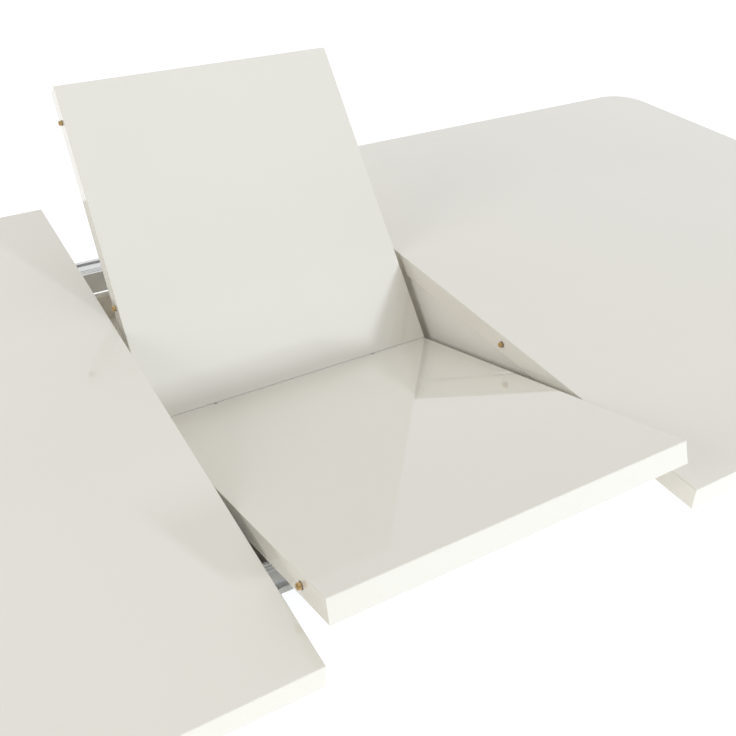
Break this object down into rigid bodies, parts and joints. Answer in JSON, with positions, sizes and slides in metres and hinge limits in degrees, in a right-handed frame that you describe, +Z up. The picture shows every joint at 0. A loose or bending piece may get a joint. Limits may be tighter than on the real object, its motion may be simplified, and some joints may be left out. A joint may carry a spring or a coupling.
{
  "type": "extending dining table",
  "caption": "Gloss white dining table drawn open on slides, its folding butterfly leaf half raised between the two tops on pivots.",
  "frame": {"origin": "on the floor, under the middle of the table and of the gap between the two tops", "axes": "+X along the table's length to the dowelled top, +Y to the back, +Z up"},
  "size_m": [2.0168, 0.9, 1.0031],
  "materials": {
    "white_lacquer": "high-gloss white lacquer on MDF",
    "white_board": "satin white melamine board",
    "aluminium": "satin anodised extrusion",
    "slide_steel": "zinc-plated",
    "zinc_steel": "zinc-plated",
    "brass": "dull brass-coloured tips",
    "grey_plastic": "moulded",
    "nylon": "natural nylon",
    "rubber": "pale grey rubber",
    "felt": "stick-on felt"
  },
  "bodies": {
    "centre_frame": {"front_beam": "aluminium", "rear_beam": "aluminium", "beam_end_caps": "grey_plastic", "slide_stops": "grey_plastic", "beam_tie_bars": "zinc_steel", "well_floor": "white_board", "well_left_wall": "white_board", "well_right_wall": "white_board", "well_front_board": "white_board", "well_rear_board": "white_board", "well_screws": "zinc_steel", "well_angles": "zinc_steel", "leaf_rest_pads": "rubber", "leaf_rest_strip": "felt", "left_pivot_bracket": "zinc_steel", "left_pivot_pin": "zinc_steel", "right_pivot_bracket": "zinc_steel", "right_pivot_pin": "zinc_steel", "pivot_washers": "nylon"},
    "left_end": {"left_top": "white_lacquer", "left_front_slide": "slide_steel", "left_rear_slide": "slide_steel", "left_front_apron": "white_lacquer", "left_rear_apron": "white_lacquer", "left_end_apron": "white_lacquer", "left_cross_rail": "white_board", "left_front_leg": "white_lacquer", "left_rear_leg": "white_lacquer", "left_front_corner_brace": "zinc_steel", "left_rear_corner_brace": "zinc_steel", "left_levelling_feet": "grey_plastic", "left_leg_bolts": "zinc_steel", "left_slide_screws": "zinc_steel"},
    "right_end": {"right_top": "white_lacquer", "right_front_slide": "slide_steel", "right_rear_slide": "slide_steel", "right_front_apron": "white_lacquer", "right_rear_apron": "white_lacquer", "right_end_apron": "white_lacquer", "right_cross_rail": "white_board", "right_front_leg": "white_lacquer", "right_rear_leg": "white_lacquer", "right_front_corner_brace": "zinc_steel", "right_rear_corner_brace": "zinc_steel", "right_levelling_feet": "grey_plastic", "right_leg_bolts": "zinc_steel", "right_slide_screws": "zinc_steel", "right_top_dowels": "brass"},
    "leaf_front": {"front_half_leaf": "white_lacquer", "front_leaf_dowels": "brass", "front_hinge_barrels": "zinc_steel", "left_pivot_plate": "zinc_steel", "right_pivot_plate": "zinc_steel", "pivot_plate_screws": "zinc_steel", "seam_hinge_rods": "zinc_steel"},
    "leaf_rear": {"rear_half_leaf": "white_lacquer", "rear_leaf_dowels": "brass", "rear_hinge_barrels": "zinc_steel"}
  },
  "joints": [
    {"name": "left_end_slide", "type": "slide", "parent": "centre_frame", "child": "left_end", "axis": [1, 0, 0], "range_m": [0, 0.008]},
    {"name": "right_end_slide", "type": "slide", "parent": "centre_frame", "child": "right_end", "axis": [-1, 0, 0], "range_m": [0, 0.008]},
    {"name": "leaf_tilt", "type": "hinge", "parent": "centre_frame", "child": "leaf_front", "pos_m": [0, -0.2775, 0.728], "axis": [1, 0, 0], "range_deg": [0, 18.3]},
    {"name": "leaf_seam", "type": "hinge", "parent": "leaf_front", "child": "leaf_rear", "pos_m": [0, -0.00399, 0.67125], "axis": [1, 0, 0], "range_deg": [-65.9, 0]}
  ],
  "couplings": [
    {"joint": "leaf_seam", "follows": "leaf_tilt", "ratio": -3.6011}
  ]
}
